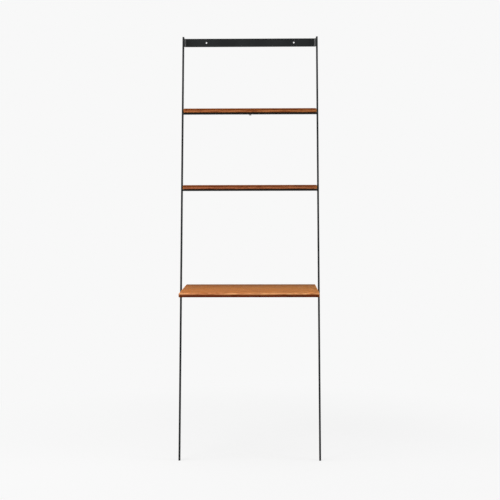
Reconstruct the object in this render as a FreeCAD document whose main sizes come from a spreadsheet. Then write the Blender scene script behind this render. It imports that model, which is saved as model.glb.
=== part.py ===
import FreeCAD, Part
import os
import re
import Sketcher

# A wall-leaning ladder desk: two flat-bar uprights, a wall bar, and three solid wood boards on steel rungs.
# Frame: +X to the right, +Y towards the wall, +Z up, origin on the floor under the middle of the desk.

# Driving dimensions in millimetres
SIZES = {
    "overall_height": 1897,
    "inner_width": 611,
    "bar_thick": 8,
    "bar_depth": 16,
    "bar_edge_round": 0.8,
    "foot_reach": 377,
    "top_gap": 2,
    "pad_thick": 3,
    "desk_height": 744,
    "shelf_step": 351,
    "top_drop": 336,
    "desk_depth": 445,
    "shelf_lip": 15,
    "board_thick": 19,
    "board_gap": 0.5,
    "corner_round": 7,
    "front_round": 6,
    "under_chamfer": 2,
    "tenon_width": 10,
    "tenon_reach": 2,
    "rear_bar_width": 10,
    "rear_bar_stop": 12,
    "front_bar_reach": 85,
    "wall_bar_height": 38,
    "wall_bar_thick": 3,
    "wall_bar_drop": 7,
    "wall_bar_bend": 6,
    "tab_reach": 20,
    "tab_corner": 3,
    "tab_screw_inset": 14,
    "wall_hole_spacing": 406,
    "wall_hole_radius": 3.5,
    "screw_radius": 2,
    "screw_head_radius": 3.6,
    "screw_slack": 0.15,
    "rung_screw_length": 25,
    "tab_screw_length": 10.8,
    "board_screw_length": 22,
    "board_screw_spread": 440,
    "overrun": 2,
}

doc = FreeCAD.newDocument("ladder_desk")
sheet = doc.addObject("Spreadsheet::Sheet", "sizes")
for row, (alias, value) in enumerate(SIZES.items(), start=1):
    sheet.set(f"A{row}", alias)
    sheet.set(f"B{row}", str(value))
    sheet.setAlias(f"B{row}", alias)
doc.recompute()

ALONG_X = FreeCAD.Rotation(FreeCAD.Vector(0, 0, 1), FreeCAD.Vector(1, 0, 0))
AGAINST_X = FreeCAD.Rotation(FreeCAD.Vector(0, 0, 1), FreeCAD.Vector(-1, 0, 0))
ALONG_Y = FreeCAD.Rotation(FreeCAD.Vector(0, 0, 1), FreeCAD.Vector(0, 1, 0))
UPWARDS = FreeCAD.Rotation()

# Places that follow from the driving dimensions, as expressions
WALL = "(desk_depth / 2)"
SLOPE = "((foot_reach - top_gap) / overall_height)"
BAR_RUN = f"(bar_depth * sqrt(1 + {SLOPE} ^ 2))"
SIDE_IN = "(inner_width / 2)"
SIDE_OUT = "(inner_width / 2 + bar_thick)"
HEAD_HEIGHT = "(screw_head_radius - screw_radius)"
BAR_MIDDLE = "(overall_height - wall_bar_drop - wall_bar_height / 2)"
TOP_HEIGHT = "(overall_height - top_drop)"
MIDDLE_HEIGHT = f"({TOP_HEIGHT} - shelf_step)"


def bound(text):
    """Name the sheet before every driving dimension in an expression."""
    def cell(match):
        word = match.group()
        return f"sizes.{word}" if word in SIZES else word
    return re.sub(r"[a-z_]+", cell, text)


def value_of(text):
    """Work out an expression of the driving dimensions."""
    return float(sheet.evalExpression(bound(text)))


def bind(item, **lengths):
    """Tie an object's length properties to expressions of the driving dimensions."""
    for prop, text in lengths.items():
        item.setExpression(prop, bound(text))
    return item


def put(item, x="0", y="0", z="0", turn=UPWARDS):
    """Turn an object and tie its place to expressions of the driving dimensions."""
    item.Placement = FreeCAD.Placement(FreeCAD.Vector(), turn)
    for axis, text in zip("xyz", (x, y, z)):
        item.setExpression(f".Placement.Base.{axis}", bound(text))
    return item


def box(name, length, width, height, x, y, z):
    """A block whose lowest corner is at x, y, z."""
    item = bind(doc.addObject("Part::Box", name), Length=length, Width=width, Height=height)
    return put(item, x, y, z)


def rod(name, radius, height, x, y, z, turn):
    """A round bar that starts at x, y, z and runs along its turned axis."""
    item = bind(doc.addObject("Part::Cylinder", name), Radius=radius, Height=height)
    return put(item, x, y, z, turn)


def cone(name, wide, narrow, height, x, y, z, turn):
    """A cone that starts wide at x, y, z and narrows along its turned axis."""
    item = bind(doc.addObject("Part::Cone", name), Radius1=wide, Radius2=narrow, Height=height)
    return put(item, x, y, z, turn)


def fused(name, base, tool):
    """Two objects joined into one solid."""
    item = doc.addObject("Part::Fuse", name)
    item.Base = base
    item.Tool = tool
    return item


def grouped(name, items):
    """Separate solids kept together under one name."""
    item = doc.addObject("Part::Compound", name)
    item.Links = items
    return item


def drilled(name, base, tools):
    """An object with holes cut by the tools."""
    item = doc.addObject("Part::Cut", name)
    item.Base = base
    item.Tool = grouped(f"{name}_tools", tools)
    return item


def screw(name, length, x, y, z, turn):
    """A countersunk screw with its head flush at x, y, z."""
    head = cone(f"{name}_head", "screw_head_radius", "screw_radius", HEAD_HEIGHT, x, y, z, turn)
    shank = rod(f"{name}_shank", "screw_radius", length, x, y, z, turn)
    return fused(name, head, shank)


def screw_hole(name, length, x, y, z, turn):
    """The countersunk hole that a screw of that length sits in."""
    wide = "screw_head_radius + screw_slack"
    narrow = "screw_radius + screw_slack"
    seat = cone(f"{name}_seat", wide, narrow, HEAD_HEIGHT, x, y, z, turn)
    bore = rod(f"{name}_bore", narrow, f"{length} + screw_slack", x, y, z, turn)
    return fused(name, seat, bore)


def plane(body, role):
    """One of a body's own origin planes."""
    return next(item for item in body.Origin.OriginFeatures if item.Role == role)


def outline(body, role, name, points):
    """A closed sketch of straight lines, each corner tied to expressions of the driving dimensions."""
    sketch = body.newObject("Sketcher::SketchObject", name)
    sketch.AttachmentSupport = [(plane(body, role), "")]
    sketch.MapMode = "FlatFace"
    corners = [FreeCAD.Vector(value_of(across), value_of(up), 0) for across, up in points]
    for start, end in zip(corners, corners[1:] + corners[:1]):
        sketch.addGeometry(Part.LineSegment(start, end))
    for line in range(len(points)):
        following = (line + 1) % len(points)
        sketch.addConstraint(Sketcher.Constraint("Coincident", line, 2, following, 1))
    for line, (corner, texts) in enumerate(zip(corners, points)):
        for kind, place, text in zip(("DistanceX", "DistanceY"), (corner.x, corner.y), texts):
            index = sketch.addConstraint(Sketcher.Constraint(kind, -1, 1, line, 1, place))
            sketch.setExpression(f"Constraints[{index}]", bound(text))
    return sketch


def padded(body, sketch, name, length):
    """A sketch pushed out into a solid."""
    pad = body.newObject("PartDesign::Pad", name)
    pad.Profile = sketch
    bind(pad, Length=length)
    doc.recompute()
    return pad


def edges_of(base, wanted):
    """The base with the names of those of its edges whose two ends satisfy a test."""
    edges = enumerate(base.Shape.Edges, start=1)
    return base, [f"Edge{number}" for number, edge in edges
                  if wanted(edge.Vertexes[0].Point, edge.Vertexes[-1].Point)]


def rounded(body, base, name, radius, wanted):
    """A fillet on the wanted edges of the base."""
    fillet = body.newObject("PartDesign::Fillet", name)
    fillet.Base = edges_of(base, wanted)
    bind(fillet, Radius=radius)
    doc.recompute()
    return fillet


def chamfered(body, base, name, size, wanted):
    """A chamfer on the wanted edges of the base."""
    chamfer = body.newObject("PartDesign::Chamfer", name)
    chamfer.Base = edges_of(base, wanted)
    bind(chamfer, Size=size)
    doc.recompute()
    return chamfer


def rear_at(height):
    """The place of the uprights' rear faces at a height."""
    return f"({WALL} - top_gap - {SLOPE} * (overall_height - {height}))"


class Level:
    """The heights and places of one board and the steel under it."""

    def __init__(self, name, height, overhangs):
        self.name = name
        self.under = f"({height} - board_thick)"
        self.rung_low = f"({self.under} - bar_thick)"
        self.rung_middle = f"({self.under} - bar_thick / 2)"
        self.rung_y = f"({rear_at(self.rung_middle)} - {BAR_RUN} / 2)"
        self.rung_front = f"({self.rung_y} - bar_depth / 2)"
        board_middle = f"({height} - board_thick / 2)"
        lipped = f"({rear_at(board_middle)} - {BAR_RUN} - shelf_lip)"
        self.front = "(-desk_depth / 2)" if overhangs else lipped
        self.overhangs = overhangs

    def tenon(self, name, length, x):
        """A block of the rung's tenon section that starts at x."""
        front = f"{self.rung_y} - tenon_width / 2"
        return box(name, length, "tenon_width", "bar_thick", x, front, self.rung_low)


LEVELS = (
    Level("desk", "desk_height", True),
    Level("middle", MIDDLE_HEIGHT, False),
    Level("top", TOP_HEIGHT, False),
)


class Side:
    """The places of one upright: its lowest X, its tenon pockets, and where and how screws enter it."""

    def __init__(self, name, low_x, pocket_x, screw_x, turn):
        self.name = name
        self.low_x = low_x
        self.pocket_x = pocket_x
        self.screw_x = screw_x
        self.turn = turn


SIDES = (
    Side("left", f"-{SIDE_OUT}", f"(-{SIDE_IN} - tenon_reach)", f"-{SIDE_OUT}", ALONG_X),
    Side("right", SIDE_IN, SIDE_IN, SIDE_OUT, AGAINST_X),
)

BOARD_SCREWS = (("left", "-board_screw_spread / 2"), ("right", "board_screw_spread / 2"))
TAB_SCREW_Y = f"({WALL} - tab_screw_inset)"
EASE = value_of("overrun") / 4


def upright_cuts(side):
    """The countersunk holes and the tenon pockets of one upright."""
    for level in LEVELS:
        yield level.tenon(f"{level.name}_{side.name}_pocket", "tenon_reach", side.pocket_x)
        yield screw_hole(f"{level.name}_{side.name}_hole", "rung_screw_length", side.screw_x, level.rung_y,
                         level.rung_middle, side.turn)
    yield screw_hole(f"tab_{side.name}_hole", "tab_screw_length", side.screw_x, TAB_SCREW_Y,
                     BAR_MIDDLE, side.turn)


def build_upright(side):
    """One leaning flat bar, level at both ends, with pockets for the rungs and holes for its screws."""
    body = doc.addObject("PartDesign::Body", f"{side.name}_upright_bar")
    low_rear = rear_at("pad_thick")
    high_rear = rear_at("overall_height")
    sketch = outline(body, "YZ_Plane", f"{side.name}_upright_side", (
        (f"{low_rear} - {BAR_RUN}", "pad_thick"),
        (low_rear, "pad_thick"),
        (high_rear, "overall_height"),
        (f"{high_rear} - {BAR_RUN}", "overall_height"),
    ))
    pad = padded(body, sketch, f"{side.name}_upright_pad", "bar_thick")
    rounded(body, pad, f"{side.name}_upright_edges", "bar_edge_round",
            lambda start, end: abs(end.z - start.z) > value_of("desk_height"))
    put(body, x=side.low_x)
    return drilled(f"{side.name}_upright", body, list(upright_cuts(side)))


def build_foot_pad(side):
    """A rubber pad stuck under an upright."""
    return box(f"{side.name}_foot_pad", "bar_thick", BAR_RUN, "pad_thick",
               side.low_x, f"{rear_at('pad_thick')} - {BAR_RUN}", "0")


def build_board(level):
    """A solid wood board with rounded front corners, eased edges and blind holes for its screws."""
    body = doc.addObject("PartDesign::Body", f"{level.name}_board_blank")
    half = "(inner_width / 2 - board_gap)"
    sketch = outline(body, "XY_Plane", f"{level.name}_board_plan", (
        (f"-{half}", level.front),
        (half, level.front),
        (half, WALL),
        (f"-{half}", WALL),
    ))
    pad = padded(body, sketch, f"{level.name}_board_pad", "board_thick")
    front = value_of(level.front)

    def on_front(start, end, height):
        middle = (start + end) / 2
        return abs(middle.y - front) < EASE and abs(middle.z - height) < EASE

    corners = rounded(body, pad, f"{level.name}_corner_round", "corner_round",
                      lambda start, end: abs(start.z - end.z) > EASE and abs(start.y - front) < EASE)
    top_edge = rounded(body, corners, f"{level.name}_front_round", "front_round",
                       lambda start, end: on_front(start, end, value_of("board_thick")))
    chamfered(body, top_edge, f"{level.name}_under_chamfer", "under_chamfer",
              lambda start, end: on_front(start, end, 0))
    put(body, z=level.under)
    pilots = [rod(f"{level.name}_{name}_pilot", "screw_radius + screw_slack",
                  "board_screw_length - bar_thick + screw_slack", x, level.rung_y, level.under, UPWARDS)
              for name, x in BOARD_SCREWS]
    return drilled(f"{level.name}_board", body, pilots)


def build_rung(level):
    """The flat bar that a board rests on, with a tenon at each end and holes for its screws."""
    bar = box(f"{level.name}_rung_bar", "inner_width", "bar_depth", "bar_thick",
              f"-{SIDE_IN}", level.rung_front, level.rung_low)
    tenons = level.tenon(f"{level.name}_rung_tenons", "inner_width + 2 * tenon_reach",
                         f"-{SIDE_IN} - tenon_reach")
    blank = fused(f"{level.name}_rung_blank", bar, tenons)
    tappings = [rod(f"{level.name}_{side.name}_tapping", "screw_radius + screw_slack",
                    "rung_screw_length + screw_slack", side.screw_x, level.rung_y,
                    level.rung_middle, side.turn)
                for side in SIDES]
    seats = [screw_hole(f"{level.name}_{name}_seat", "board_screw_length", x, level.rung_y,
                        level.rung_low, UPWARDS)
             for name, x in BOARD_SCREWS]
    return drilled(f"{level.name}_rung", blank, tappings + seats)


def build_rear_bar(level):
    """The bar under a board's middle, from the rung back towards the wall."""
    start = f"({level.rung_y} + bar_depth / 2)"
    return box(f"{level.name}_rear_bar", "rear_bar_width", f"{WALL} - rear_bar_stop - {start}",
               "bar_thick", "-rear_bar_width / 2", start, level.rung_low)


def build_front_bar(level):
    """The bar under the desk's overhang, from the rung towards the front edge."""
    return box(f"{level.name}_front_bar", "rear_bar_width", "front_bar_reach",
               "bar_thick", "-rear_bar_width / 2", f"{level.rung_front} - front_bar_reach", level.rung_low)


def build_rung_screws(level):
    """The machine screws that hold a rung between the uprights."""
    screws = [screw(f"{level.name}_rung_screw_{side.name}", "rung_screw_length", side.screw_x, level.rung_y,
                    level.rung_middle, side.turn)
              for side in SIDES]
    return grouped(f"{level.name}_rung_screws", screws)


def build_board_screws(level):
    """The wood screws that hold a board down on its rung."""
    screws = [screw(f"{level.name}_board_screw_{name}", "board_screw_length", x, level.rung_y,
                    level.rung_low, UPWARDS)
              for name, x in BOARD_SCREWS]
    return grouped(f"{level.name}_board_screws", screws)


def build_wall_bar():
    """The flat bar that is screwed to the wall, its ends bent forward into tabs."""
    body = doc.addObject("PartDesign::Body", "wall_bar_strip")
    inside = f"({SIDE_IN} - wall_bar_thick)"
    face = f"({WALL} - wall_bar_thick)"
    tip = f"({WALL} - tab_reach)"
    sketch = outline(body, "XY_Plane", "wall_bar_plan", (
        (f"-{SIDE_IN}", tip),
        (f"-{inside}", tip),
        (f"-{inside}", face),
        (inside, face),
        (inside, tip),
        (SIDE_IN, tip),
        (SIDE_IN, WALL),
        (f"-{SIDE_IN}", WALL),
    ))
    pad = padded(body, sketch, "wall_bar_pad", "wall_bar_height")

    def upright_at(start, end, place):
        return abs(start.x - end.x) < EASE and abs(start.y - end.y) < EASE and abs(start.y - place) < EASE

    inner = rounded(body, pad, "wall_bar_inner_bend", "wall_bar_bend",
                    lambda start, end: upright_at(start, end, value_of(face)))
    outer = rounded(body, inner, "wall_bar_outer_bend", "wall_bar_bend + wall_bar_thick",
                    lambda start, end: upright_at(start, end, value_of(WALL)))
    tip_y = value_of(tip)
    rounded(body, outer, "wall_bar_tab_corners", "tab_corner",
            lambda start, end: abs(start.z - end.z) < EASE and abs(start.y - tip_y) < EASE
            and abs(end.y - tip_y) < EASE)
    put(body, z=f"{BAR_MIDDLE} - wall_bar_height / 2")
    wall_holes = [rod(f"wall_hole_{side}", "wall_hole_radius", "wall_bar_thick + 2 * overrun",
                      f"{sign}wall_hole_spacing / 2", f"{face} - overrun", BAR_MIDDLE, ALONG_Y)
                  for side, sign in (("left", "-"), ("right", ""))]
    tappings = [rod(f"tab_{side.name}_tapping", "screw_radius + screw_slack", "tab_screw_length + overrun",
                    side.screw_x, TAB_SCREW_Y, BAR_MIDDLE, side.turn)
                for side in SIDES]
    return drilled("wall_bar", body, wall_holes + tappings)


def build_wall_bar_screws():
    """The machine screws that hold the wall bar's tabs to the uprights."""
    screws = [screw(f"tab_screw_{side.name}", "tab_screw_length", side.screw_x, TAB_SCREW_Y,
                    BAR_MIDDLE, side.turn)
              for side in SIDES]
    return grouped("wall_bar_screws", screws)


def build_level(level):
    """One board with all the steel and screws that carry it."""
    pieces = [build_board(level), build_rung(level), build_rear_bar(level)]
    if level.overhangs:
        pieces.append(build_front_bar(level))
    return pieces + [build_rung_screws(level), build_board_screws(level)]


def check(pieces):
    """Stop if any object failed to build or any piece is not a sound solid."""
    for item in doc.Objects:
        if {"Invalid", "Error"} & set(item.State):
            raise RuntimeError(f"{item.Name} failed: {item.State}")
    for piece in pieces:
        if piece.Shape.isNull() or not piece.Shape.isValid():
            raise RuntimeError(f"{piece.Label} is not a sound shape")


def main():
    """Build every piece and write each to its own file."""
    pieces = [build_wall_bar(), build_wall_bar_screws()]
    for side in SIDES:
        pieces.append(build_upright(side))
        pieces.append(build_foot_pad(side))
    for level in LEVELS:
        pieces.extend(build_level(level))
    doc.recompute()
    check(pieces)
    os.makedirs("parts", exist_ok=True)
    for piece in pieces:
        piece.Shape.exportStep(f"parts/{piece.Label}.step")
        print(piece.Label, len(piece.Shape.Solids), round(piece.Shape.Volume))


main()
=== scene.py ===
"""Looks of a wall-leaning ladder desk: oiled wood boards on a slim black steel ladder."""

import functools
import logging
import math
from abc import ABC, abstractmethod
from dataclasses import dataclass, replace
from enum import Enum

import bmesh
import bpy
from mathutils import Matrix, Vector


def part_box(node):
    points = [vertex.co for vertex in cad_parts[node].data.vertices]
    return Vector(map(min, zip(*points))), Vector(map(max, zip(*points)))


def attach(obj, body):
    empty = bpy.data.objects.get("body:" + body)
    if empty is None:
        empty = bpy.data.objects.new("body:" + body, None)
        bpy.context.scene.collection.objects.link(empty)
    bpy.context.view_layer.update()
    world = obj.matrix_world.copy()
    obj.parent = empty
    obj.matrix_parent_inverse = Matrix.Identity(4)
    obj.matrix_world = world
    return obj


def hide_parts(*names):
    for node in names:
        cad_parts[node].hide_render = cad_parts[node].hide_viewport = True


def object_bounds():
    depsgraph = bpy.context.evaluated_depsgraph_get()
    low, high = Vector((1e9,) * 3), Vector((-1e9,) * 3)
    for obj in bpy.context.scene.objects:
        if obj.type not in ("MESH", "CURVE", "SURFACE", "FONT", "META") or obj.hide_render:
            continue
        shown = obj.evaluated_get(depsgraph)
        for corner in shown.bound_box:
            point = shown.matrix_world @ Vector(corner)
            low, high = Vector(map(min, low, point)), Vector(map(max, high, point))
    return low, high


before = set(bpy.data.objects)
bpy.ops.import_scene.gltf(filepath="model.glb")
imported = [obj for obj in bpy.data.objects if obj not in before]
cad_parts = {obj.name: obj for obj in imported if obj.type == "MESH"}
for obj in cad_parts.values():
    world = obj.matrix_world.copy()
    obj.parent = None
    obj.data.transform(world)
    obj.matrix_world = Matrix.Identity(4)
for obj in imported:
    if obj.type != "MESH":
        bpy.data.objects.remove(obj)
CAD_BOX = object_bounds()

LOG = logging.getLogger("ladder_desk")
BODY = "root"
MILLIMETRE = 0.001
MERGE_DISTANCE = 0.001 * MILLIMETRE
SORT_DIGITS = 4
HALF = 0.5

Socket = bpy.types.NodeSocket
Number = float | Socket
Span = tuple[Number, Number]
Colour = tuple[float, float, float]
Tint = Colour | Socket
Place = tuple[float, float, float]
Lumps = tuple[float, float, float]


class Slot(Enum):
    """Names of the record's material slots, one for each kind of new piece."""

    STEEL = "black_steel"
    SCREW = "black_screw"


class Heading(Enum):
    """The way in which a set of screws is driven."""

    INWARD = "inward"
    UPWARD = "upward"


class Tree(Enum):
    """The types of node group."""

    SHADER = "ShaderNodeTree"
    GEOMETRY = "GeometryNodeTree"


class Kind(Enum):
    """Socket types of the node groups."""

    GEOMETRY = "NodeSocketGeometry"
    NUMBER = "NodeSocketFloat"
    COUNT = "NodeSocketInt"
    VECTOR = "NodeSocketVector"
    MATERIAL = "NodeSocketMaterial"


def opaque(colour: Tint) -> tuple[float, float, float, float] | Socket:
    """A colour with full cover, or the socket that gives it."""
    return colour if isinstance(colour, Socket) else (*colour, 1.0)


def grey(shade: float) -> tuple[float, float, float, float]:
    """An even grey with full cover."""
    return opaque((shade, shade, shade))


class Wiring:
    """Adds nodes to one tree and joins their sockets."""

    # Places of the colour sockets on a Mix node, where several sockets share a name
    MIX_FACTOR = 0
    MIX_FIRST = 6
    MIX_SECOND = 7
    MIX_RESULT = 2

    def __init__(self, tree: bpy.types.NodeTree) -> None:
        """Keep the tree that the nodes go into."""
        self.tree = tree

    def add(self, kind: str, inputs: dict | None = None, **settings: object) -> bpy.types.Node:
        """Add one node.

        Args:
            kind: The node's type name.
            inputs: Values or sockets for its inputs, by name or index.
            **settings: Values for its own properties.

        Returns:
            The new node.
        """
        node = self.tree.nodes.new(kind)
        for name, setting in settings.items():
            setattr(node, name, setting)
        for key, value in (inputs or {}).items():
            self.feed(node.inputs[key], value)
        return node

    def feed(self, socket: Socket, value: object) -> None:
        """Link a socket to another one, or set its constant.

        Args:
            socket: The input to feed.
            value: The socket to link to it, or the constant.
        """
        if isinstance(value, Socket):
            self.tree.links.new(value, socket)
        else:
            socket.default_value = value

    def math(self, operation: str, *values: Number) -> Socket:
        """The result of one sum on numbers."""
        return self.add("ShaderNodeMath", dict(enumerate(values)), operation=operation).outputs[0]

    def total(self, first: Number, second: Number) -> Socket:
        """One number plus another."""
        return self.math("ADD", first, second)

    def difference(self, first: Number, second: Number) -> Socket:
        """One number less another."""
        return self.math("SUBTRACT", first, second)

    def product(self, first: Number, second: Number) -> Socket:
        """One number times another."""
        return self.math("MULTIPLY", first, second)

    def quotient(self, first: Number, second: Number) -> Socket:
        """One number over another."""
        return self.math("DIVIDE", first, second)

    def product_plus(self, first: Number, second: Number, more: Number) -> Socket:
        """One number times another, plus a third."""
        return self.math("MULTIPLY_ADD", first, second, more)

    def vector_math(self, operation: str, *values: Place | Socket, output: str = "Vector") -> Socket:
        """The result of one sum on vectors."""
        node = self.add("ShaderNodeVectorMath", dict(enumerate(values)), operation=operation)
        return node.outputs[output]

    def ranged(self, value: Socket, span: Span, result: Span = (0.0, 1.0), smooth: bool = True) -> Socket:
        """A value carried from one range to another and held at its ends.

        Args:
            value: The socket to carry over.
            span: The values that become the result's start and end.
            result: The start and the end of the result.
            smooth: Whether the way between is eased.

        Returns:
            The result's socket.
        """
        (low, high), (start, end) = span, result
        inputs = {"Value": value, "From Min": low, "From Max": high, "To Min": start, "To Max": end}
        style = "SMOOTHSTEP" if smooth else "LINEAR"
        return self.add("ShaderNodeMapRange", inputs, interpolation_type=style).outputs["Result"]

    def spread(self, share: Socket, result: Span) -> Socket:
        """A share from nought to one carried evenly over a range."""
        return self.ranged(share, (0.0, 1.0), result, smooth=False)

    def blend(self, factor: Number, first: Tint, second: Tint, style: str = "MIX") -> Socket:
        """Two colours mixed by a factor."""
        inputs = {self.MIX_FACTOR: factor, self.MIX_FIRST: opaque(first), self.MIX_SECOND: opaque(second)}
        return self.add("ShaderNodeMix", inputs, data_type="RGBA", blend_type=style).outputs[self.MIX_RESULT]

    def tinted(self, colour: Socket, tint: Tint, strength: Number = 1.0) -> Socket:
        """A colour multiplied by a tint or a tone."""
        return self.blend(strength, colour, tint, "MULTIPLY")

    def mixed(self, factor: Number, first: bpy.types.Node, second: bpy.types.Node) -> bpy.types.Node:
        """Two shaders mixed by a factor."""
        return self.add("ShaderNodeMixShader", {0: factor, 1: first.outputs[0], 2: second.outputs[0]})

    def parts(self, vector: Socket) -> tuple[Socket, Socket, Socket]:
        """The three numbers of a vector."""
        return tuple(self.add("ShaderNodeSeparateXYZ", {0: vector}).outputs)

    def joined(self, x: Number, y: Number, z: Number) -> Socket:
        """Three numbers as a vector."""
        return self.add("ShaderNodeCombineXYZ", {0: x, 1: y, 2: z}).outputs[0]

    def noise(self, place: Socket, lumps: Lumps, detail: float = 2.0, output: str = "Fac") -> Socket:
        """Noise whose grain is stretched differently along each axis.

        Args:
            place: The coordinates.
            lumps: Lumps per metre along X, Y and Z.
            detail: How many finer layers are added.
            output: Which output to give back.

        Returns:
            The noise's socket.
        """
        inputs = {"Vector": self.vector_math("MULTIPLY", place, lumps), "Scale": 1.0, "Detail": detail}
        return self.add("ShaderNodeTexNoise", inputs).outputs[output]

    def even_noise(self, scale: Number, detail: float) -> Socket:
        """Noise on the object's own coordinates with lumps as long as they are wide."""
        inputs = {"Vector": self.object_place(), "Scale": scale, "Detail": detail}
        return self.add("ShaderNodeTexNoise", inputs).outputs["Fac"]

    def object_place(self) -> Socket:
        """The place of a point in the object's own coordinates."""
        return self.add("ShaderNodeTexCoord").outputs["Object"]


def new_group(name: str, style: Tree, inputs: dict[str, Kind], outputs: dict[str, Kind]
              ) -> tuple[Wiring, dict[str, Socket], bpy.types.Node]:
    """Start a node group with named sockets.

    Args:
        name: The group's name.
        style: The type of tree.
        inputs: Socket kinds by input name.
        outputs: Socket kinds by output name.

    Returns:
        The wiring of the tree, its inputs' sockets by name, and the output node.
    """
    tree = bpy.data.node_groups.new(name, style.value)
    for in_out, sockets in (("INPUT", inputs), ("OUTPUT", outputs)):
        for label, kind in sockets.items():
            tree.interface.new_socket(label, in_out=in_out, socket_type=kind.value)
    wiring = Wiring(tree)
    entry = wiring.add("NodeGroupInput")
    return wiring, {label: entry.outputs[label] for label in inputs}, wiring.add("NodeGroupOutput")


# Shader groups that several materials share

@dataclass(frozen=True)
class WoodFigure:
    """Growth rings, fibres, pores and glued staves of a board whose grain runs along X.

    Lengths are in metres, lumps are counted per metre, and a detail is a number of finer layers.
    """

    seam_edge: Span = (0.2 * MILLIMETRE, 0.7 * MILLIMETRE)
    pith_aside: Span = (-0.07, 0.07)
    pith_below: Span = (0.02, 0.06)
    log_step: float = 9.0
    wander: Span = (-0.035, 0.035)
    wander_lumps: Lumps = (1.9, 4.0, 4.0)
    fuzz: float = 0.45
    fuzz_lumps: Lumps = (9.0, 160.0, 160.0)
    late_wood: Span = (0.15, 0.9)
    ring_end: Span = (0.93, 1.0)
    fibre_lumps: Lumps = (11.0, 620.0, 620.0)
    fibre_detail: float = 3.0
    pore_lumps: Lumps = (75.0, 1500.0, 1500.0)
    pore_detail: float = 0.0
    pore_edge: Span = (0.64, 0.71)
    vein_lumps: Lumps = (24.0, 150.0, 150.0)
    vein_edge: Span = (0.5, 0.68)

    @functools.cache
    def group(self) -> bpy.types.NodeTree:
        """Build the shader group once.

        Returns:
            A group that puts out masks of the figure and a chance number for each stave.
        """
        inputs = {"Shift": Kind.VECTOR, "Stave Width": Kind.NUMBER, "Ring Spacing": Kind.NUMBER}
        names = ("Figure", "Fibre", "Pores", "Veins", "Stave", "Seam")
        outputs = dict.fromkeys(names, Kind.NUMBER)
        wiring, given, result = new_group("wood_figure", Tree.SHADER, inputs, outputs)
        place = wiring.vector_math("ADD", wiring.object_place(), given["Shift"])
        x, y, z = wiring.parts(place)

        # Each stave has a chance number of its own, and its seams lie where the lane's share is nought or one
        lane = wiring.quotient(y, given["Stave Width"])
        number = wiring.math("FLOOR", lane)
        chance = wiring.add("ShaderNodeTexWhiteNoise", {"W": number}, noise_dimensions="1D").outputs
        share = wiring.math("FRACT", lane)
        nearest = wiring.math("MINIMUM", share, wiring.difference(1.0, share))
        from_seam = wiring.product(nearest, given["Stave Width"])

        # The rings stand round a pith that lies aside of each stave, below it, and wanders along the log
        aside, below, along = wiring.parts(chance["Color"])
        from_middle = wiring.product(wiring.difference(share, HALF), given["Stave Width"])
        from_pith_y = wiring.total(from_middle, wiring.spread(aside, self.pith_aside))
        from_pith_z = wiring.total(z, wiring.spread(below, self.pith_below))
        log_x = wiring.total(x, wiring.product(along, self.log_step))
        log_place = wiring.joined(log_x, from_pith_y, from_pith_z)
        wander_y, wander_z, _ = wiring.parts(wiring.noise(log_place, self.wander_lumps, output="Color"))
        bent_y = wiring.total(from_pith_y, wiring.spread(wander_y, self.wander))
        bent_z = wiring.total(from_pith_z, wiring.spread(wander_z, self.wander))
        radius = wiring.vector_math("LENGTH", wiring.joined(0.0, bent_y, bent_z), output="Value")
        rings_out = wiring.quotient(radius, given["Ring Spacing"])
        fuzz = wiring.noise(log_place, self.fuzz_lumps)
        turn = wiring.math("FRACT", wiring.product_plus(fuzz, self.fuzz, rings_out))
        late_wood = wiring.ranged(turn, self.late_wood)

        made = {
            "Figure": wiring.product(late_wood, wiring.ranged(turn, self.ring_end, (1.0, 0.0))),
            "Fibre": wiring.noise(place, self.fibre_lumps, self.fibre_detail),
            "Pores": wiring.ranged(wiring.noise(place, self.pore_lumps, self.pore_detail), self.pore_edge),
            "Veins": wiring.ranged(wiring.noise(log_place, self.vein_lumps), self.vein_edge),
            "Stave": chance["Value"],
            "Seam": wiring.ranged(from_seam, self.seam_edge, (1.0, 0.0)),
        }
        for name, socket in made.items():
            wiring.feed(result.inputs[name], socket)
        return wiring.tree


@dataclass(frozen=True)
class FineGrain:
    """The orange-peel surface and slow mottling of a sprayed, oxidised or moulded skin."""

    lump_detail: float = 2.0
    patch_detail: float = 3.0
    patch_edge: Span = (0.35, 0.65)

    @functools.cache
    def group(self) -> bpy.types.NodeTree:
        """Build the shader group once.

        Returns:
            A group that puts out the skin's height and a mask of its mottling.
        """
        inputs = {"Lumps": Kind.NUMBER, "Patches": Kind.NUMBER}
        outputs = {"Height": Kind.NUMBER, "Mottle": Kind.NUMBER}
        wiring, given, result = new_group("fine_grain", Tree.SHADER, inputs, outputs)
        wiring.feed(result.inputs["Height"], wiring.even_noise(given["Lumps"], self.lump_detail))
        patches = wiring.even_noise(given["Patches"], self.patch_detail)
        wiring.feed(result.inputs["Mottle"], wiring.ranged(patches, self.patch_edge))
        return wiring.tree


@dataclass(frozen=True)
class EdgeWear:
    """Where hands and cloths have rubbed an edge: a broken mask along the corners of a piece."""

    bevel_samples: int = 6
    corner: Span = (0.995, 0.9)
    break_detail: float = 3.0
    break_edge: Span = (0.4, 0.65)

    @functools.cache
    def group(self) -> bpy.types.NodeTree:
        """Build the shader group once.

        Returns:
            A group that puts out a mask of the wear.
        """
        inputs = {"Reach": Kind.NUMBER, "Breaks": Kind.NUMBER}
        wiring, given, result = new_group("edge_wear", Tree.SHADER, inputs, {"Wear": Kind.NUMBER})
        flat = wiring.add("ShaderNodeNewGeometry").outputs["Normal"]
        soft = wiring.add("ShaderNodeBevel", {"Radius": given["Reach"]}, samples=self.bevel_samples)
        likeness = wiring.vector_math("DOT_PRODUCT", flat, soft.outputs["Normal"], output="Value")
        corner = wiring.ranged(likeness, self.corner)
        breaks = wiring.ranged(wiring.even_noise(given["Breaks"], self.break_detail), self.break_edge)
        wiring.feed(result.inputs["Wear"], wiring.product(corner, breaks))
        return wiring.tree


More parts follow.
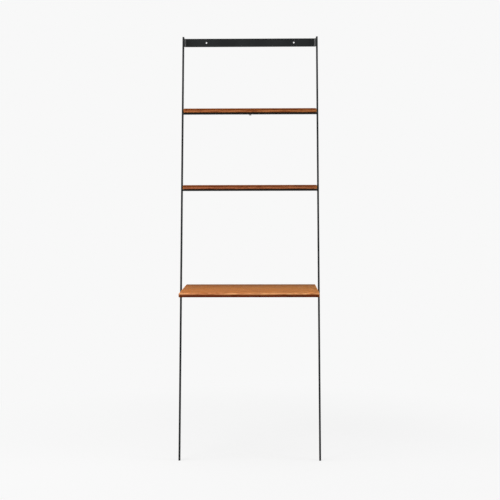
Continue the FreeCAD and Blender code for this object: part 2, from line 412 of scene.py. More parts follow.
WOOD_FIGURE = WoodFigure()
FINE_GRAIN = FineGrain()
EDGE_WEAR = EdgeWear()


# Finishes

class Finish(ABC):
    """What the finishes share: a material with one shader, and groups placed in it."""

    name: str

    @abstractmethod
    def make(self) -> bpy.types.Material:
        """The finish's material."""

    def start(self) -> tuple[bpy.types.Material, Wiring, bpy.types.Node]:
        """Begin a material of this finish's name with a bare shader.

        Returns:
            The material, its wiring and the shader's node.
        """
        material = bpy.data.materials.new(self.name)
        material.use_nodes = True
        material.node_tree.nodes.clear()
        wiring = Wiring(material.node_tree)
        shader = wiring.add("ShaderNodeBsdfPrincipled")
        wiring.add("ShaderNodeOutputMaterial", {"Surface": shader.outputs["BSDF"]})
        return material, wiring, shader

    @staticmethod
    def effect(wiring: Wiring, group: bpy.types.NodeTree, **values: object) -> dict[str, Socket]:
        """Put a shader group into a material with its own values.

        Args:
            wiring: The material's wiring.
            group: The group to place.
            **values: The group's inputs, with underscores for spaces and small letters.

        Returns:
            The group's outputs by name.
        """
        inputs = {label.replace("_", " ").title(): value for label, value in values.items()}
        return dict(wiring.add("ShaderNodeGroup", inputs, node_tree=group).outputs.items())

    @staticmethod
    def bump(wiring: Wiring, surface: Socket, strength: float, height: float) -> Socket:
        """The normal of a surface with a fine relief."""
        inputs = {"Height": surface, "Strength": strength, "Distance": height}
        return wiring.add("ShaderNodeBump", inputs).outputs["Normal"]


@dataclass(frozen=True)
class FrontEdgeLight:
    """Painted light and shade on a board's front edge: a tint for its lower face, and one for the band above
    it that takes in the rounding.
    """

    # Painted light and shade: the tint of the face below the band, and of the band with the rounding
    face: Colour
    band: Colour
    band_height: float
    blur: float = 1.0 * MILLIMETRE


@dataclass(frozen=True)
class OiledWood(Finish):
    """Solid wood of glued staves, oiled to a satin.

    A tone multiplies the colour, a depth is how strongly a mark shows, and a facing is a span of the normal.
    No tint takes the wood past its brightest colour.
    """

    name: str
    shift: Place
    top: float
    edge: FrontEdgeLight
    pale: Colour = (0.535, 0.205, 0.046)
    dark: Colour = (0.27, 0.078, 0.014)
    pore: Colour = (0.10, 0.026, 0.006)
    ruddy: Colour = (1.06, 0.95, 0.98)
    golden: Colour = (0.96, 1.05, 0.98)
    rubbed: Colour = (0.70, 0.33, 0.12)
    brightest: Colour = (0.9, 0.9, 0.9)
    stave_width: float = 112.0 * MILLIMETRE
    ring_spacing: float = 6.2 * MILLIMETRE
    ring_depth: float = 0.55
    vein_depth: float = 0.6
    pore_depth: float = 0.5
    seam_depth: float = 0.6
    wear_depth: float = 0.35
    wear_reach: float = 3.0 * MILLIMETRE
    wear_breaks: float = 40.0
    stave_warmth: float = 0.6
    drift_warmth: float = 0.4
    fibre: Span = (0.3, 0.7)
    fibre_tone: Span = (0.86, 1.1)
    end_tone: float = 0.62
    # Painted shade: how dark undersides are, and how dark tops get within wall_shade of the wall
    underside_shade: float = 0.5
    wall_shade_tone: float = 0.55
    wall_shade: float = 0.22
    facing_end: Span = (0.6, 0.9)
    facing_down: Span = (-0.6, -0.3)
    facing_up: Span = (0.9, 0.99)
    facing_front: Span = (-0.8, -0.98)
    turning_up: Span = (0.03, 0.15)
    rough: Span = (0.6, 0.72)
    pore_rough: float = 0.2
    sheen: float = 0.04
    fibre_relief: float = 0.35
    relief: float = 0.35
    relief_height: float = 0.25 * MILLIMETRE

    def figured(self, wiring: Wiring, grain: dict[str, Socket], across: Socket) -> Socket:
        """The colour of the planed wood, with its rings, veins, staves, fibres, pores and seams.

        Args:
            wiring: The material's wiring.
            grain: The outputs of the wood's figure.
            across: The place from left to right.

        Returns:
            The colour's socket.
        """
        rings = wiring.product(grain["Figure"], self.ring_depth)
        depth = wiring.total(rings, wiring.product(grain["Veins"], self.vein_depth))
        colour = wiring.blend(depth, self.pale, self.dark)
        left_to_right = wiring.ranged(across, (CAD_BOX[0].x, CAD_BOX[1].x))
        drift = wiring.product(left_to_right, self.drift_warmth)
        warmth = wiring.product_plus(grain["Stave"], self.stave_warmth, drift)
        colour = wiring.tinted(colour, wiring.blend(warmth, self.ruddy, self.golden))
        colour = wiring.tinted(colour, wiring.ranged(grain["Fibre"], self.fibre, self.fibre_tone))
        colour = wiring.blend(wiring.product(grain["Pores"], self.pore_depth), colour, self.pore)
        return wiring.blend(wiring.product(grain["Seam"], self.seam_depth), colour, self.pore)

    def shaded(self, wiring: Wiring, colour: Socket, rearward: Socket, normal: tuple[Socket, ...]) -> Socket:
        """The colour with darker end grain, painted shade on the underside, and painted shade on the top near
        the wall.

        Args:
            wiring: The material's wiring.
            colour: The wood's colour.
            rearward: The place from front to wall.
            normal: The three numbers of the surface's normal.

        Returns:
            The colour's socket.
        """
        sideways, _, upwards = normal
        end_grain = wiring.ranged(wiring.math("ABSOLUTE", sideways), self.facing_end, (1.0, self.end_tone))
        colour = wiring.tinted(colour, end_grain)
        # Painted shade on the underside
        colour = wiring.tinted(colour, wiring.ranged(upwards, self.facing_down, (self.underside_shade, 1.0)))
        # Painted shade on the top, darker towards the wall where the shelves above shadow it
        wall = CAD_BOX[1].y
        shade_near_wall = wiring.ranged(rearward, (wall - self.wall_shade, wall), (1.0, self.wall_shade_tone))
        return wiring.tinted(colour, shade_near_wall, wiring.ranged(upwards, self.facing_up))

    def edge_lit(self, wiring: Wiring, colour: Socket, height: Socket, normal: tuple[Socket, ...]) -> Socket:
        """The colour with painted light and shade on the front edge's face and rounding.

        Args:
            wiring: The material's wiring.
            colour: The wood's colour.
            height: The place above the floor.
            normal: The three numbers of the surface's normal.

        Returns:
            The colour's socket.
        """
        _, rearwards, upwards = normal
        # Painted light and shade on the front edge: one tint below the band, another on the band and the
        # rounding
        edge_face = wiring.ranged(rearwards, self.facing_front)
        band_foot = self.top - self.edge.band_height
        in_band = wiring.ranged(height, (band_foot - self.edge.blur, band_foot))
        below_band = wiring.product(edge_face, wiring.difference(1.0, in_band))
        colour = wiring.tinted(colour, self.edge.face, below_band)
        off_top = wiring.ranged(upwards, self.facing_up, (1.0, 0.0))
        rounding = wiring.product(wiring.ranged(upwards, self.turning_up), off_top)
        band = wiring.math("MAXIMUM", rounding, wiring.product(edge_face, in_band))
        return wiring.tinted(colour, self.edge.band, band)

    def make(self) -> bpy.types.Material:
        """The finish's material.

        Returns:
            A material whose colour, gloss and relief follow the wood's figure.
        """
        material, wiring, shader = self.start()
        grain = self.effect(wiring, WOOD_FIGURE.group(), shift=self.shift, stave_width=self.stave_width,
                            ring_spacing=self.ring_spacing)
        worn = self.effect(wiring, EDGE_WEAR.group(), reach=self.wear_reach, breaks=self.wear_breaks)["Wear"]
        coordinates = wiring.add("ShaderNodeTexCoord").outputs
        across, rearward, height = wiring.parts(coordinates["Object"])
        normal = wiring.parts(coordinates["Normal"])
        colour = self.figured(wiring, grain, across)
        colour = self.shaded(wiring, colour, rearward, normal)
        colour = self.edge_lit(wiring, colour, height, normal)
        colour = wiring.vector_math("MINIMUM", colour, self.brightest)
        colour = wiring.blend(wiring.product(worn, self.wear_depth), colour, self.rubbed)
        wiring.feed(shader.inputs["Base Color"], colour)
        gloss = wiring.ranged(grain["Fibre"], self.fibre, self.rough)
        rough = wiring.product_plus(grain["Pores"], self.pore_rough, gloss)
        wiring.feed(shader.inputs["Roughness"], rough)
        wiring.feed(shader.inputs["Specular IOR Level"], self.sheen)
        sunk = wiring.math("MAXIMUM", grain["Pores"], grain["Seam"])
        surface = wiring.difference(wiring.product(grain["Fibre"], self.fibre_relief), sunk)
        wiring.feed(shader.inputs["Normal"], self.bump(wiring, surface, self.relief, self.relief_height))
        return material


@dataclass(frozen=True)
class Skin(Finish):
    """A thin dark skin over steel or through rubber."""

    name: str
    deep: Colour
    light: Colour
    # Colour of rubbed edges; on the wall bar also the colour of the painted highlight on its bent ends
    worn: Colour
    rough: Span
    lumps: float
    patches: float
    relief_height: float
    relief: float = 0.3
    metallic: float = 0.0
    sheen: float = 0.2
    rubbing: float = 0.5
    reach: float = 1.2 * MILLIMETRE
    breaks: float = 60.0
    # Past this distance from the middle, the ends get a painted highlight in the worn colour, patchy with the
    # mottling
    highlight_start: float | None = None
    end_blur: float = 2.0 * MILLIMETRE
    highlight_spread: Span = (0.75, 1.0)

    def end_highlighted(self, wiring: Wiring, colour: Socket, mottle: Socket) -> Socket:
        """The colour with a painted highlight on its ends, where the piece is bent.

        Args:
            wiring: The material's wiring.
            colour: The skin's colour.
            mottle: The mask of the skin's mottling.

        Returns:
            The colour's socket.
        """
        across, _, _ = wiring.parts(wiring.object_place())
        span = (self.highlight_start, self.highlight_start + self.end_blur)
        ends = wiring.ranged(wiring.math("ABSOLUTE", across), span)
        highlight_patches = wiring.ranged(mottle, (0.0, 1.0), self.highlight_spread)
        return wiring.blend(wiring.product(ends, highlight_patches), colour, self.worn)

    def make(self) -> bpy.types.Material:
        """The finish's material.

        Returns:
            A material with a fine grain, slow mottling and rubbed edges.
        """
        material, wiring, shader = self.start()
        grain = self.effect(wiring, FINE_GRAIN.group(), lumps=self.lumps, patches=self.patches)
        rubbed = self.effect(wiring, EDGE_WEAR.group(), reach=self.reach, breaks=self.breaks)["Wear"]
        colour = wiring.blend(grain["Mottle"], self.deep, self.light)
        colour = wiring.blend(wiring.product(rubbed, self.rubbing), colour, self.worn)
        # Painted highlight on the bent ends
        if self.highlight_start is not None:
            colour = self.end_highlighted(wiring, colour, grain["Mottle"])
        wiring.feed(shader.inputs["Base Color"], colour)
        wiring.feed(shader.inputs["Roughness"], wiring.ranged(grain["Mottle"], (0.0, 1.0), self.rough))
        wiring.feed(shader.inputs["Metallic"], self.metallic)
        wiring.feed(shader.inputs["Specular IOR Level"], self.sheen)
        surface = self.bump(wiring, grain["Height"], self.relief, self.relief_height)
        wiring.feed(shader.inputs["Normal"], surface)
        return material


POWDER_COAT = Skin(
    name="black_powder_coat",
    deep=(0.0072, 0.0085, 0.0092),
    light=(0.0105, 0.0125, 0.0132),
    worn=(0.03, 0.032, 0.033),
    rough=(0.36, 0.46),
    lumps=1100.0,
    patches=14.0,
    relief_height=0.12 * MILLIMETRE,
)
BLACK_OXIDE = Skin(
    name="black_oxide",
    deep=(0.018, 0.018, 0.02),
    light=(0.045, 0.045, 0.048),
    worn=(0.22, 0.215, 0.21),
    rough=(0.3, 0.44),
    lumps=2600.0,
    patches=90.0,
    relief_height=0.04 * MILLIMETRE,
    metallic=0.8,
    rubbing=0.7,
    reach=0.3 * MILLIMETRE,
)
FOOT_RUBBER = Skin(
    name="foot_rubber",
    deep=(0.012, 0.012, 0.012),
    light=(0.022, 0.022, 0.021),
    worn=(0.06, 0.058, 0.055),
    rough=(0.78, 0.92),
    lumps=1900.0,
    patches=120.0,
    relief_height=0.1 * MILLIMETRE,
    rubbing=0.4,
)
# Desk: a painted highlight on the rounded front edge and painted shade on the face below it. Shelves: painted
# shade on the rounding and a slight tint on the face.
DESK_EDGE_LIGHT = FrontEdgeLight((0.4, 0.15, 0.06), (1.85, 2.25, 4.2), 8.4 * MILLIMETRE)
MIDDLE_EDGE_LIGHT = FrontEdgeLight((1.02, 0.88, 1.8), (0.48, 0.32, 0.28), 7.4 * MILLIMETRE)
TOP_EDGE_LIGHT = FrontEdgeLight((1.04, 0.9, 1.45), (0.48, 0.32, 0.28), 7.4 * MILLIMETRE)


@functools.cache
def finished(finish: Finish) -> bpy.types.Material:
    """The one material of a finish."""
    return finish.make()


# Geometry node trees for what repeats

HEXAGON_SIDES = 6


def tree_inputs(seed: str, sizes: tuple[str, ...], counts: tuple[str, ...]) -> dict[str, Kind]:
    """The inputs of a geometry tree: what it works on, its sizes and counts, and its finish."""
    numbers = dict.fromkeys(sizes, Kind.NUMBER) | dict.fromkeys(counts, Kind.COUNT)
    return {seed: Kind.GEOMETRY} | numbers | {"Finish": Kind.MATERIAL}


def realised(wiring: Wiring, made: bpy.types.Node, finish: Socket) -> Socket:
    """End a geometry tree: make its copies real and give them their finish.

    Args:
        wiring: The tree's wiring.
        made: The node that puts out the geometry.
        finish: The material's socket.

    Returns:
        The finished geometry's socket.
    """
    real = wiring.add("GeometryNodeRealizeInstances", {"Geometry": made.outputs[0]})
    return wiring.add("GeometryNodeSetMaterial", {"Geometry": real.outputs[0], "Material": finish}).outputs[0]


@functools.cache
def screw_tree() -> bpy.types.NodeTree:
    """Build the tree for countersunk screws with a hexagon socket and a cut thread.

    Returns:
        A tree that sets one screw on each point, heading as the point says.
    """
    sizes = ("Head Radius", "Head Height", "Rim Height", "Core Radius", "Length", "Socket Radius",
             "Socket Depth", "Pitch", "Thread Depth")
    counts = ("Around", "Thread Rows")
    inputs = tree_inputs("Points", sizes, counts)
    wiring, given, result = new_group("screw_set", Tree.GEOMETRY, inputs, {"Screws": Kind.GEOMETRY})

    # A sheet is rolled up: its columns go round the screw, and its rows follow the outline from socket to tip
    floor, wall, face, rim, cone, first_thread = range(1, 7)
    thread = wiring.total(given["Thread Rows"], cone)
    tip = wiring.total(thread, 1)
    sheet = wiring.add("GeometryNodeMeshGrid", {
        "Size X": 1.0,
        "Size Y": 1.0,
        "Vertices X": wiring.total(given["Around"], 1),
        "Vertices Y": wiring.total(tip, 1),
    })
    across, up, _ = wiring.parts(wiring.add("GeometryNodeInputPosition").outputs[0])
    turn = wiring.total(across, HALF)
    row = wiring.product(wiring.total(up, HALF), tip)

    def stage(start: Number, end: Number) -> Socket:
        """How far a row has come through one stretch of the screw's outline."""
        return wiring.ranged(row, (start, end), smooth=False)

    # Height of each row above the head's face
    z = wiring.product(given["Socket Depth"], wiring.difference(1.0, stage(floor, wall)))
    z = wiring.product_plus(given["Rim Height"], stage(face, rim), z)
    cone_height = wiring.difference(given["Head Height"], given["Rim Height"])
    z = wiring.product_plus(cone_height, stage(rim, cone), z)
    shank = wiring.difference(given["Length"], given["Head Height"])
    z = wiring.product_plus(shank, stage(cone, thread), z)

    # Radius of each row, with six flats in the socket and a spiral groove in the shank
    angle = wiring.product(turn, math.tau)
    flat = math.tau / HEXAGON_SIDES
    from_flat = wiring.difference(wiring.math("MODULO", angle, flat), flat * HALF)
    hexagon = wiring.quotient(given["Socket Radius"], wiring.math("COSINE", from_flat))
    radius = wiring.product(hexagon, stage(0, floor))
    widening = wiring.difference(given["Head Radius"], hexagon)
    radius = wiring.product_plus(widening, stage(wall, face), radius)
    narrowing = wiring.difference(given["Core Radius"], given["Head Radius"])
    radius = wiring.product_plus(narrowing, stage(rim, cone), radius)
    spiral = wiring.difference(wiring.quotient(z, given["Pitch"]), turn)
    groove = wiring.product(wiring.math("PINGPONG", spiral, HALF), given["Thread Depth"])
    radius = wiring.difference(radius, wiring.product(groove, stage(cone, first_thread)))
    radius = wiring.product(radius, wiring.difference(1.0, stage(thread, tip)))

    place = wiring.joined(wiring.product(radius, wiring.math("COSINE", angle)),
                          wiring.product(radius, wiring.math("SINE", angle)), z)
    rolled = wiring.add("GeometryNodeSetPosition", {"Geometry": sheet.outputs["Mesh"], "Position": place})
    seam = {"Geometry": rolled.outputs[0], "Distance": MERGE_DISTANCE}
    closed = wiring.add("GeometryNodeMergeByDistance", seam)
    heading = wiring.add("GeometryNodeInputNamedAttribute", {"Name": "heading"}, data_type="FLOAT_VECTOR")
    way = {"Vector": heading.outputs["Attribute"]}
    aligned = wiring.add("FunctionNodeAlignRotationToVector", way, axis="Z")
    copies = wiring.add("GeometryNodeInstanceOnPoints", {
        "Points": given["Points"],
        "Instance": closed.outputs[0],
        "Rotation": aligned.outputs[0],
    })
    wiring.feed(result.inputs["Screws"], realised(wiring, copies, given["Finish"]))
    return wiring.tree


@functools.cache
def bead_tree() -> bpy.types.NodeTree:
    """Build the tree for rippled weld beads.

    Returns:
        A tree that lays one bead along each edge of a mesh.
    """
    sizes = ("Radius", "Ripple", "Ripple Share", "Taper Start", "Tip Share")
    counts = ("Rings", "Around")
    inputs = tree_inputs("Paths", sizes, counts)
    wiring, given, result = new_group("weld_beads", Tree.GEOMETRY, inputs, {"Beads": Kind.GEOMETRY})
    lines = wiring.add("GeometryNodeMeshToCurve", {"Mesh": given["Paths"]})
    steps = wiring.add("GeometryNodeResampleCurve", {"Curve": lines.outputs[0], "Count": given["Rings"]})
    run = wiring.add("GeometryNodeSplineParameter").outputs
    waves = wiring.quotient(run["Length"], given["Ripple"])
    swell = wiring.math("SINE", wiring.product(waves, math.tau))
    swell = wiring.product_plus(swell, given["Ripple Share"], 1.0)
    from_middle = wiring.math("ABSOLUTE", wiring.difference(run["Factor"], HALF))
    taper = wiring.ranged(from_middle, (given["Taper Start"], HALF), (1.0, given["Tip Share"]))
    girth = wiring.product(wiring.product(swell, taper), given["Radius"])
    profile = wiring.add("GeometryNodeCurvePrimitiveCircle", {"Resolution": given["Around"], "Radius": 1.0})
    tube = wiring.add("GeometryNodeCurveToMesh", {
        "Curve": steps.outputs[0],
        "Profile Curve": profile.outputs[0],
        "Scale": girth,
        "Fill Caps": True,
    })
    wiring.feed(result.inputs["Beads"], realised(wiring, tube, given["Finish"]))
    return wiring.tree


def grown(name: str, seed_mesh: bpy.types.Mesh, tree: bpy.types.NodeTree, values: dict[str, object]
          ) -> bpy.types.Object:
    """Run a geometry node tree on a mesh and keep the result as a plain mesh.

    Args:
        name: The new piece's name.
        seed_mesh: The points or edges that the tree works on.
        tree: The tree.
        values: The tree's inputs by name.

    Returns:
        The new piece, with no modifier left on it.
    """
    piece = bpy.data.objects.new(name, seed_mesh)
    bpy.context.scene.collection.objects.link(piece)
    modifier = piece.modifiers.new(tree.name, "NODES")
    modifier.node_group = tree
    identifiers = {item.name: item.identifier for item in tree.interface.items_tree if item.in_out == "INPUT"}
    for label, value in values.items():
        modifier[identifiers[label]] = value
    depsgraph = bpy.context.evaluated_depsgraph_get()
    mesh = bpy.data.meshes.new_from_object(piece.evaluated_get(depsgraph), depsgraph=depsgraph)
    mesh.name = name
    piece.modifiers.clear()
    piece.data = mesh
    bpy.data.meshes.remove(seed_mesh)
    return piece


def solid_boxes(node_name: str) -> list[tuple[Vector, Vector]]:
    """The boxes of the separate solids in a frame node, in order of place.

    Args:
        node_name: The frame node's name.

    Returns:
        The lowest and highest corner of each solid.
    """
    shape = bmesh.new()
    shape.from_mesh(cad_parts[node_name].data)
    bmesh.ops.remove_doubles(shape, verts=shape.verts, dist=MERGE_DISTANCE)
    waiting = set(shape.verts)
    boxes = []
    while waiting:
        front = [waiting.pop()]
        corners = []
        while front:
            vertex = front.pop()
            corners.append(vertex.co.copy())
            for link in vertex.link_edges:
                other = link.other_vert(vertex)
                if other in waiting:
                    waiting.remove(other)
                    front.append(other)
        boxes.append((Vector(map(min, zip(*corners))), Vector(map(max, zip(*corners)))))
    shape.free()
    return sorted(boxes, key=lambda box: tuple(round(place, SORT_DIGITS) for place in box[0]))


def dress(node_name: str, finish: Finish) -> None:
    """Give a frame node a finish.

    Args:
        node_name: The frame node's name.
        finish: The finish.
    """
    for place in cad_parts[node_name].material_slots:
        place.material = finished(finish)
    LOG.info("dressed %s in %s", node_name, finish.name)


def keep(piece: bpy.types.Object, slot: Slot, *replaced: str) -> bpy.types.Object:
    """Let a new piece ride on the desk.

    Args:
        piece: The piece.
        slot: The record's slot for its finish; not used.
        *replaced: The frame nodes that it stands for.

    Returns:
        The same piece.
    """
    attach(piece, BODY)
    if replaced:
        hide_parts(*replaced)
    LOG.info("built %s, %d faces", piece.name, len(piece.data.polygons))
    return piece


# Sub-assemblies

@dataclass
class ScrewSet:
    """One group of countersunk socket screws, placed as the frame has them."""

    node: str
    heading: Heading
    pitch: float
    core_share: float = 0.556
    rim_share: float = 0.12
    socket_share: float = 0.3
    socket_depth_share: float = 0.6
    thread_depth_share: float = 0.16
    around: int = 24
    rows_a_turn: int = 4

    def start_and_way(self, low: Vector, high: Vector) -> tuple[Vector, Vector]:
        """Where a screw's head lies and which way the screw points.

        Args:
            low: The lowest corner of the screw's box.
            high: The highest corner of the screw's box.

        Returns:
            The middle of the head's face, and the heading.
        """
        middle = (low + high) / 2
        if self.heading is Heading.UPWARD:
            return Vector((middle.x, middle.y, low.z)), Vector((0, 0, 1))
        side = math.copysign(1, middle.x)
        outer = high.x if side > 0 else low.x
        return Vector((outer, middle.y, middle.z)), Vector((-side, 0, 0))

    def build(self) -> bpy.types.Object:
        """Make the screws.

        Returns:
            The finished piece, which stands for the frame's plain screws.
        """
        boxes = solid_boxes(self.node)
        places = [self.start_and_way(low, high) for low, high in boxes]
        mesh = bpy.data.meshes.new(f"{self.node}_places")
        mesh.from_pydata([tuple(start) for start, _ in places], [], [])
        headings = mesh.attributes.new("heading", "FLOAT_VECTOR", "POINT")
        for datum, (_, way) in zip(headings.data, places):
            datum.vector = way
        low, high = boxes[0]
        extent = high - low
        length = max(extent)
        head = min(extent) / 2
        core = head * self.core_share
        height = head - core
        piece = grown(f"{self.node}_set", mesh, screw_tree(), {
            "Head Radius": head,
            "Head Height": height,
            "Rim Height": height * self.rim_share,
            "Core Radius": core,
            "Length": length,
            "Socket Radius": head * self.socket_share,
            "Socket Depth": head * self.socket_depth_share,
            "Pitch": self.pitch,
            "Thread Depth": 2 * core * self.thread_depth_share,
            "Around": self.around,
            "Thread Rows": math.ceil((length - height) / self.pitch) * self.rows_a_turn,
            "Finish": finished(BLACK_OXIDE),
        })
        return keep(piece, Slot.SCREW, self.node)


@dataclass
class WeldBeads:
    """Rippled beads in the corners where the bars under a board meet its rung."""

    level: str
    bars: tuple[str, ...]
    radius: float = 1.7 * MILLIMETRE
    ripple: float = 1.3 * MILLIMETRE
    ripple_share: float = 0.14
    taper_start_share: float = 0.36
    tip_share: float = 0.55
    rings: int = 42
    around: int = 12

    def lines(self) -> list[tuple[Vector, Vector]]:
        """The corner lines that the beads fill.

        Returns:
            The low and high end of each line.
        """
        rung_low, rung_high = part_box(f"{self.level}_rung")
        ends = []
        for bar in self.bars:
            low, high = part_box(bar)
            joint = rung_high.y if low.y > rung_low.y else rung_low.y
            for x in (low.x, high.x):
                foot = Vector((x, joint, low.z + self.radius))
                head = Vector((x, joint, high.z - self.radius))
                ends.append((foot, head))
        return ends

    def build(self) -> bpy.types.Object:
        """Make the beads.

        Returns:
            The finished piece.
        """
        lines = self.lines()
        points = [tuple(end) for line in lines for end in line]
        edges = [(2 * number, 2 * number + 1) for number in range(len(lines))]
        mesh = bpy.data.meshes.new(f"{self.level}_bead_lines")
        mesh.from_pydata(points, edges, [])
        piece = grown(f"{self.level}_weld_beads", mesh, bead_tree(), {
            "Radius": self.radius,
            "Ripple": self.ripple,
            "Ripple Share": self.ripple_share,
            "Taper Start": self.taper_start_share,
            "Tip Share": self.tip_share,
            "Rings": self.rings,
            "Around": self.around,
            "Finish": finished(POWDER_COAT),
        })
        return keep(piece, Slot.STEEL)


@dataclass
class Ladder:
    """The two leaning uprights on their rubber pads."""

    sides: tuple[str, ...] = ("left", "right")

    def dress(self) -> None:
        """Coat the uprights and give the pads their rubber."""
        for side in self.sides:
            dress(f"{side}_upright", POWDER_COAT)
            dress(f"{side}_foot_pad", FOOT_RUBBER)


@dataclass
class WallRail:
    """The flat bar between the upright tops that is screwed to the wall, its ends bent forward."""

    screw_pitch: float = 0.7 * MILLIMETRE
    # Painted highlight on the bar's bends: how far in from each end it reaches, and its colour
    bend_run: float = 9.0 * MILLIMETRE
    bend_highlight: Colour = (0.095, 0.097, 0.098)
    rubbing: float = 0.2

    def build(self) -> None:
        """Make the screws through its tabs."""
        ScrewSet("wall_bar_screws", Heading.INWARD, self.screw_pitch).build()

    def dress(self) -> None:
        """Coat the bar, with a painted highlight at its bends."""
        _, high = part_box("wall_bar")
        coat = replace(POWDER_COAT, name="rail_coat", worn=self.bend_highlight, rubbing=self.rubbing,
                       highlight_start=high.x - self.bend_run)
        dress("wall_bar", coat)


@dataclass
class Storey:
    """One wood board with the steel that carries it."""

    level: str
    log_shift: Place
    edge: FrontEdgeLight
    bars: tuple[str, ...]
    rung_screw_pitch: float = 0.7 * MILLIMETRE
    board_screw_pitch: float = 1.6 * MILLIMETRE

    def build(self) -> None:
        """Make the screws and the weld beads."""
        ScrewSet(f"{self.level}_rung_screws", Heading.INWARD, self.rung_screw_pitch).build()
        ScrewSet(f"{self.level}_board_screws", Heading.UPWARD, self.board_screw_pitch).build()
        WeldBeads(self.level, self.bars).build()

    def dress(self) -> None:
        """Oil the board and coat its bars."""
        low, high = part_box(f"{self.level}_board")
        middle = (low + high) / 2
        shift = tuple(move - place for move, place in zip(self.log_shift, middle))
        dress(f"{self.level}_board", OiledWood(f"{self.level}_wood", shift, high.z, self.edge))
        for steel in (f"{self.level}_rung", *self.bars):
            dress(steel, POWDER_COAT)


# Camera, lamps and floor

def turned(degrees: float, axis: str) -> Matrix:
    """A turn about one axis."""
    return Matrix.Rotation(math.radians(degrees), 4, axis)


@dataclass(frozen=True)
class PhotoCamera:
    """The camera where the photographer stood, for a square picture. Angles are in degrees."""

    place: Place = (0.0826, -5.0335, 1.1881)
    lens: float = 80.66
    sensor: float = 36.0
    level: float = 90.0
    down: float = 3.076
    left: float = 0.931
    roll: float = -0.138

    def build(self) -> bpy.types.Object:
        """Make the camera and let the scene look through it.

        Returns:
            The camera object.
        """
        data = bpy.data.cameras.new("photo_camera")
        data.sensor_width = self.sensor
        data.lens = self.lens
        camera = bpy.data.objects.new("photo_camera", data)
        tipped = turned(self.left, "Z") @ turned(self.level, "X") @ turned(-self.down, "X")
        camera.matrix_world = Matrix.Translation(self.place) @ tipped @ turned(self.roll, "Z")
        bpy.context.scene.collection.objects.link(camera)
        bpy.context.scene.camera = camera
        return camera


@dataclass(frozen=True)
class Lamp:
    """One large soft lamp."""

    name: str
    place: Place
    aim: Place
    size: float
    power: float

    def build(self) -> bpy.types.Object:
        """Make the lamp.

        Returns:
            The lamp object.
        """
        data = bpy.data.lights.new(self.name, "AREA")
        data.shape = "DISK"
        data.size = self.size
        data.energy = self.power
        lamp = bpy.data.objects.new(self.name, data)
        way = Vector(self.aim) - Vector(self.place)
        lamp.matrix_world = Matrix.Translation(self.place) @ way.to_track_quat("-Z", "Y").to_matrix().to_4x4()
        lamp.visible_camera = False
        bpy.context.scene.collection.objects.link(lamp)
        return lamp


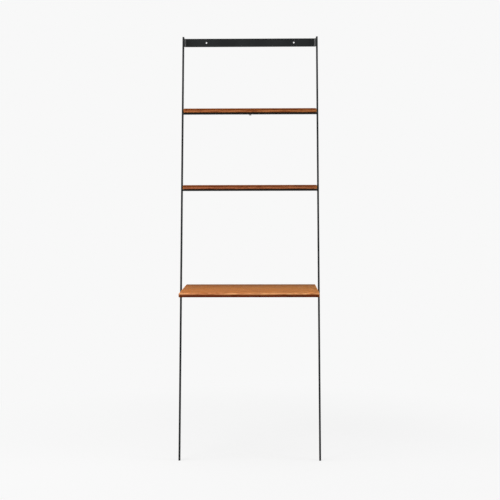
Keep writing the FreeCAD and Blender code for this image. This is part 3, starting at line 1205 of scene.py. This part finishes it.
@dataclass(frozen=True)
class Studio:
    """A pale floor, an even pale backdrop and soft light."""

    backdrop: float = 0.9387
    sky: float = 0.34
    floor_half: float = 9.0
    floor_bounce: float = 0.32
    floor_lit: float = 0.98
    shadow_share: float = 0.2
    shadow_fade: Span = (0.5, 1.8)
    lamps: tuple[Lamp, ...] = (
        Lamp("top_lamp", (-0.3, -0.6, 4.2), (0.0, 0.0, 0.8), 3.0, 26.0),
        Lamp("front_lamp", (-2.6, -2.4, 3.4), (0.0, 0.0, 0.9), 1.6, 44.0),
        Lamp("left_lamp", (-2.2, -0.4, 2.0), (0.0, 0.0, 1.4), 1.2, 30.0),
        Lamp("right_lamp", (2.2, -0.4, 2.0), (0.0, 0.0, 1.4), 1.2, 29.0),
    )

    @staticmethod
    def seen(wiring: Wiring) -> Socket:
        """Tell the rays that show a thing from those that light one.

        Args:
            wiring: The material's or world's wiring.

        Returns:
            One where a ray comes from the camera, a gloss or a glass, and nought elsewhere.
        """
        path = wiring.add("ShaderNodeLightPath").outputs
        direct = wiring.math("MAXIMUM", path["Is Camera Ray"], path["Is Glossy Ray"])
        return wiring.math("MAXIMUM", direct, path["Is Transmission Ray"])

    def build_world(self) -> None:
        """Light the scene evenly, with the backdrop's colour where it is seen."""
        world = bpy.data.worlds.new("studio")
        world.use_nodes = True
        world.node_tree.nodes.clear()
        wiring = Wiring(world.node_tree)
        light = wiring.add("ShaderNodeBackground", {"Color": grey(1.0), "Strength": self.sky})
        shown = wiring.add("ShaderNodeBackground", {"Color": grey(self.backdrop), "Strength": 1.0})
        both = wiring.mixed(self.seen(wiring), light, shown)
        wiring.add("ShaderNodeOutputWorld", {"Surface": both.outputs[0]})
        bpy.context.scene.world = world

    def floor_material(self) -> bpy.types.Material:
        """A matt floor that keeps the shadow near the desk and fades into the backdrop.

        Returns:
            A material that is clear from below.
        """
        material = bpy.data.materials.new("studio_floor")
        material.use_nodes = True
        material.node_tree.nodes.clear()
        wiring = Wiring(material.node_tree)
        matt = wiring.add("ShaderNodeBsdfDiffuse", {"Color": grey(self.floor_bounce)})
        distance = wiring.vector_math("LENGTH", wiring.object_place(), output="Value")
        share = wiring.ranged(distance, self.shadow_fade, (self.shadow_share, 0.0))
        shaded = wiring.add("ShaderNodeBsdfDiffuse", {"Color": share})
        glow = wiring.product_plus(share, -self.floor_lit, self.backdrop)
        plain = wiring.add("ShaderNodeEmission", {"Color": grey(1.0), "Strength": glow})
        shown = wiring.add("ShaderNodeAddShader", {0: shaded.outputs[0], 1: plain.outputs[0]})
        above = wiring.mixed(self.seen(wiring), matt, shown)
        from_below = wiring.add("ShaderNodeNewGeometry").outputs["Backfacing"]
        floor = wiring.mixed(from_below, above, wiring.add("ShaderNodeBsdfTransparent"))
        wiring.add("ShaderNodeOutputMaterial", {"Surface": floor.outputs[0]})
        return material

    def build_floor(self) -> bpy.types.Object:
        """Lay the floor under the desk.

        Returns:
            The floor object.
        """
        half = self.floor_half
        mesh = bpy.data.meshes.new("studio_floor")
        corners = [(-half, -half, 0), (half, -half, 0), (half, half, 0), (-half, half, 0)]
        mesh.from_pydata(corners, [], [(0, 1, 2, 3)])
        mesh.materials.append(self.floor_material())
        floor = bpy.data.objects.new("studio_floor", mesh)
        bpy.context.scene.collection.objects.link(floor)
        return floor

    def build(self) -> None:
        """Set up the floor, the backdrop and the lamps."""
        self.build_world()
        self.build_floor()
        for lamp in self.lamps:
            lamp.build()
        bpy.context.scene.view_settings.view_transform = "Standard"


def main() -> None:
    """Build and dress every sub-assembly, then the studio round it."""
    logging.basicConfig(level=logging.INFO, format="%(name)s: %(message)s")
    rail = WallRail()
    rail.build()
    rail.dress()
    Ladder().dress()
    storeys = (
        Storey("desk", (0.4, 0.03, 0.0), DESK_EDGE_LIGHT, ("desk_rear_bar", "desk_front_bar")),
        Storey("middle", (2.9, 0.41, 0.0), MIDDLE_EDGE_LIGHT, ("middle_rear_bar",)),
        Storey("top", (5.3, 0.77, 0.0), TOP_EDGE_LIGHT, ("top_rear_bar",)),
    )
    for storey in storeys:
        storey.build()
        storey.dress()
    Studio().build()
    PhotoCamera().build()


if __name__ == "__main__":
    main()
